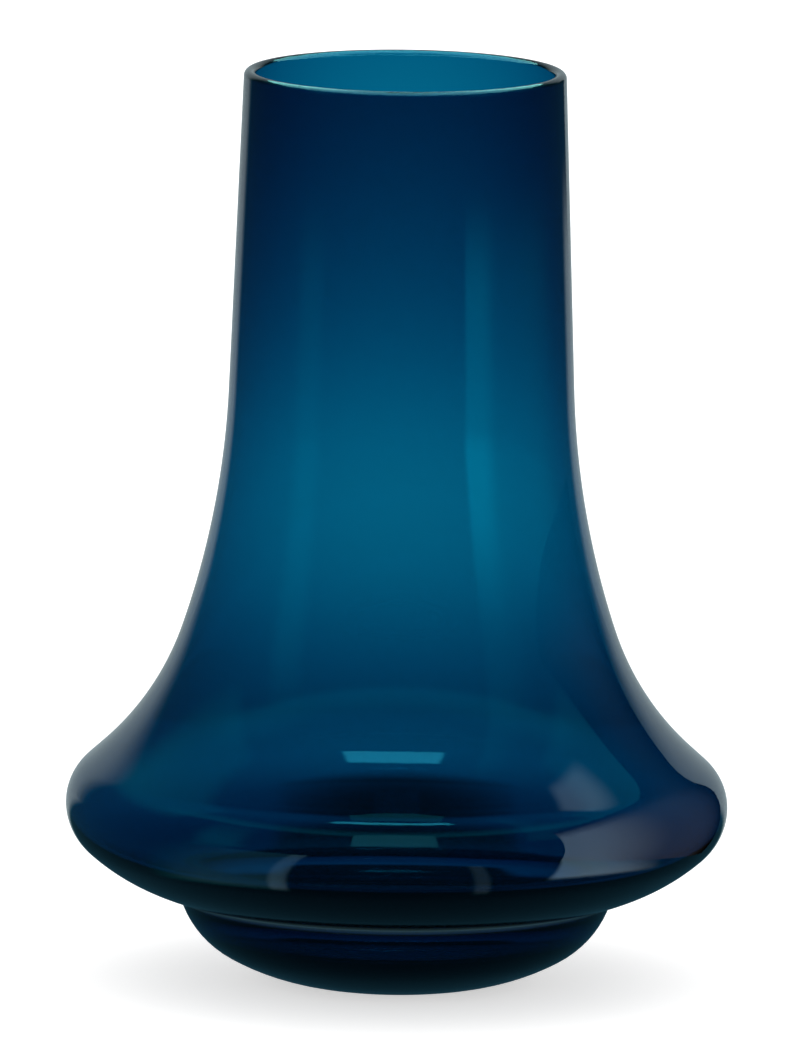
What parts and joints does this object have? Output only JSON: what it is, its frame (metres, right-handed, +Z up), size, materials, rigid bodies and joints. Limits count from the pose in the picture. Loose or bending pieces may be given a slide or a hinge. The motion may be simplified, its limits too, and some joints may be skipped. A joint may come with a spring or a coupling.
{
  "type": "glass vase",
  "caption": "Blown glass vase with a tall open neck that flares into a wide low belly on a small rounded foot.",
  "frame": {"origin": "centre of the ground bearing ring under the foot, on the surface that the vase stands on", "axes": "+Z up along the vase's axis, towards the mouth; the vase is round, so +X and +Y are free"},
  "size_m": [0.1732, 0.1732, 0.24],
  "materials": {
    "body_glass": "clear petrol-blue blown glass",
    "foot_glass": "the same glass, thick and nearly black"
  },
  "bodies": {
    "root": {"vase_body": "body_glass", "foot": "foot_glass"}
  },
  "joints": []
}
